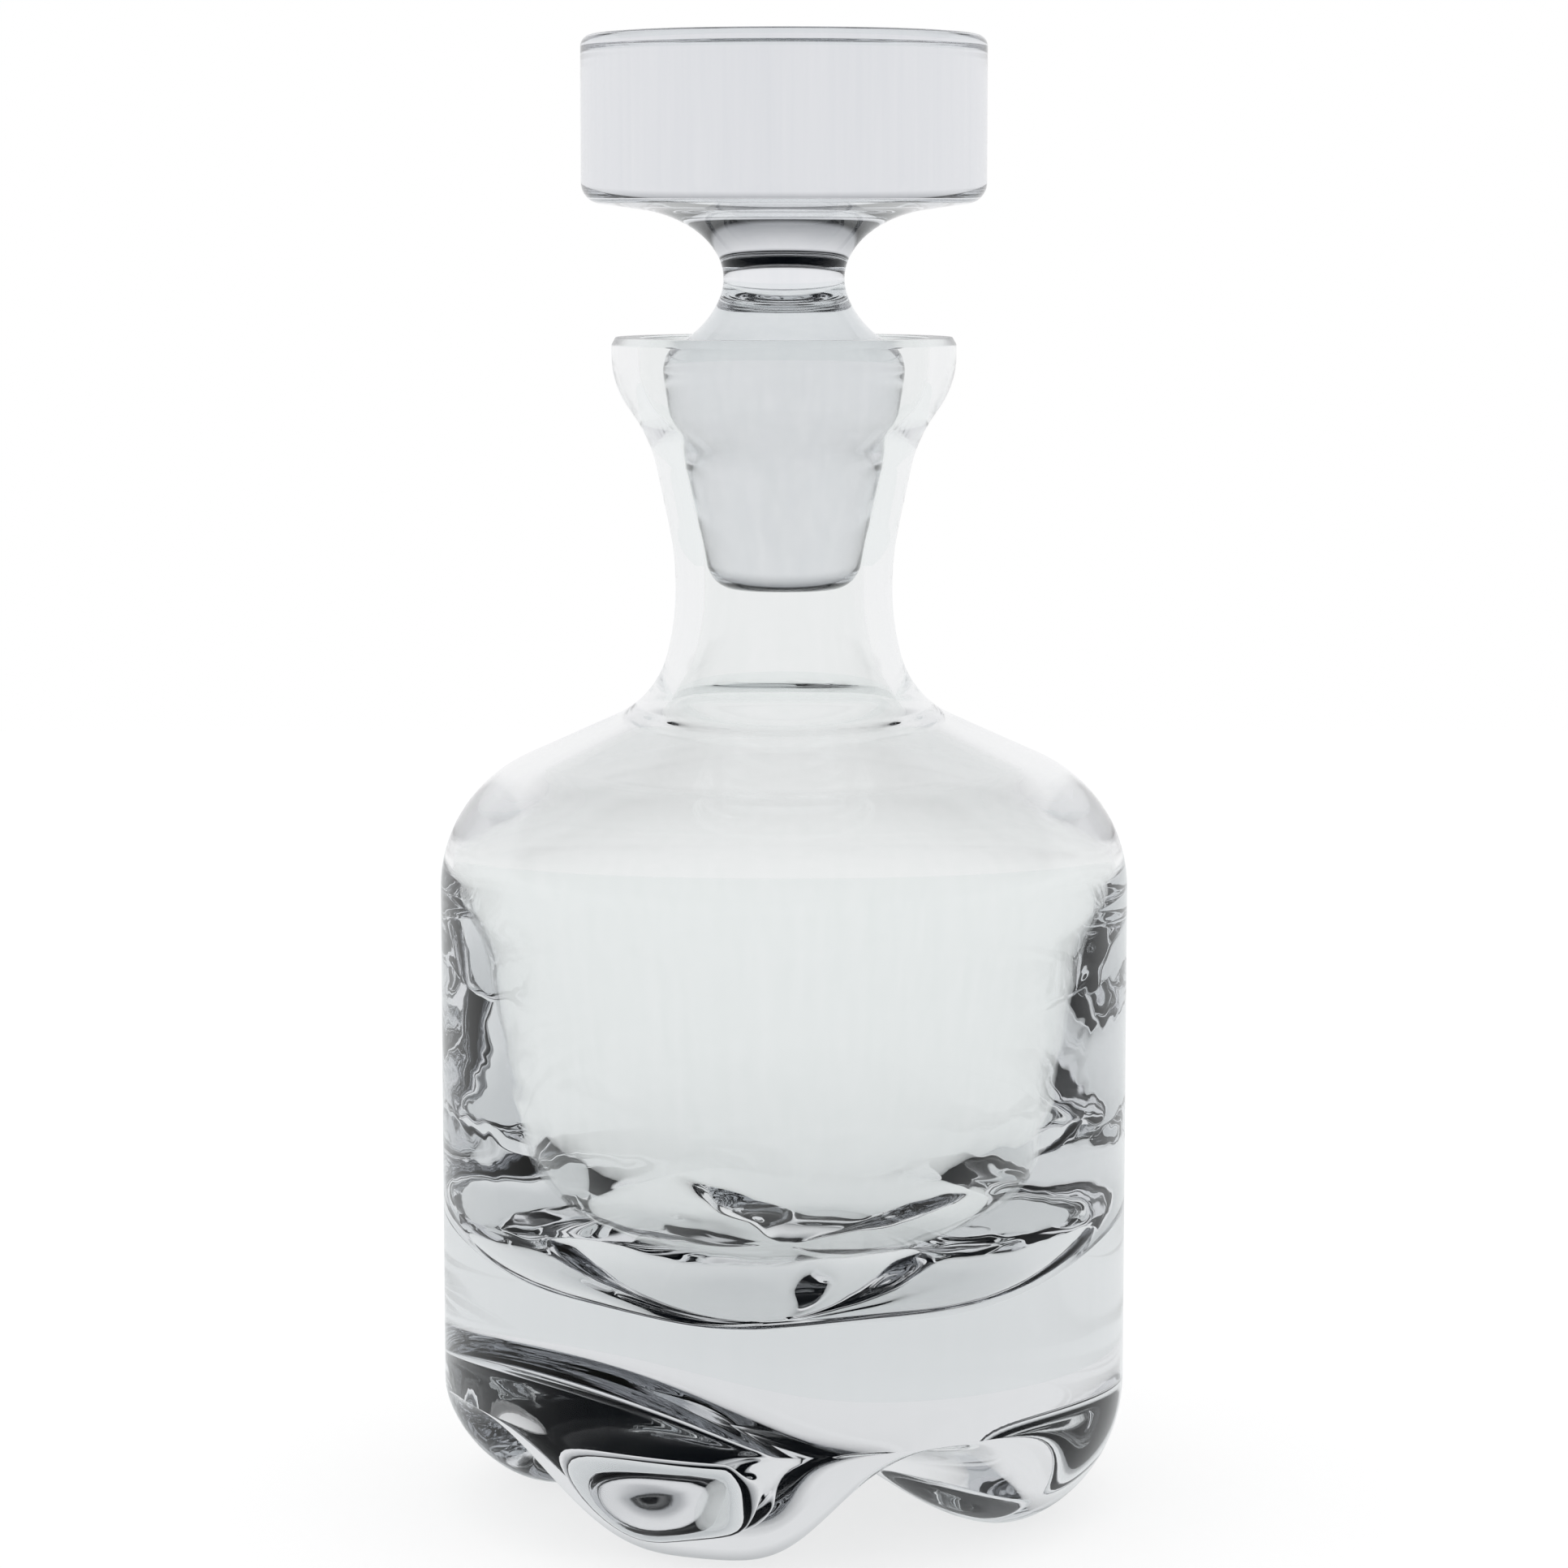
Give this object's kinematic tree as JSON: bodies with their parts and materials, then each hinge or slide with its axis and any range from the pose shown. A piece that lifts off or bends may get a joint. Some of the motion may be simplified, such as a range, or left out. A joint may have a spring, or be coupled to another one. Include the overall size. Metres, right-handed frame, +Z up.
{
  "type": "decanter",
  "caption": "Clear glass spirit decanter with a heavy lobed base, straight body, flared mouth and a lift-out solid disc stopper.",
  "frame": {"origin": "on the table, in the middle of the feet", "axes": "+Z up along the bottle's own axis, -Y towards the front of the picture, +X to its right"},
  "size_m": [0.1172, 0.1172, 0.25],
  "materials": {
    "bottle_glass": "clear, mould blown and fire polished, with a ground lip and seat",
    "stopper_glass": "clear, cast and polished, with a ground plug"
  },
  "bodies": {
    "bottle": {"bottle": "bottle_glass"},
    "stopper": {"stopper": "stopper_glass"}
  },
  "joints": [
    {"name": "stopper_lift", "type": "slide", "parent": "bottle", "child": "stopper", "axis": [0, 0, 1], "range_m": [0, 0.06]}
  ]
}
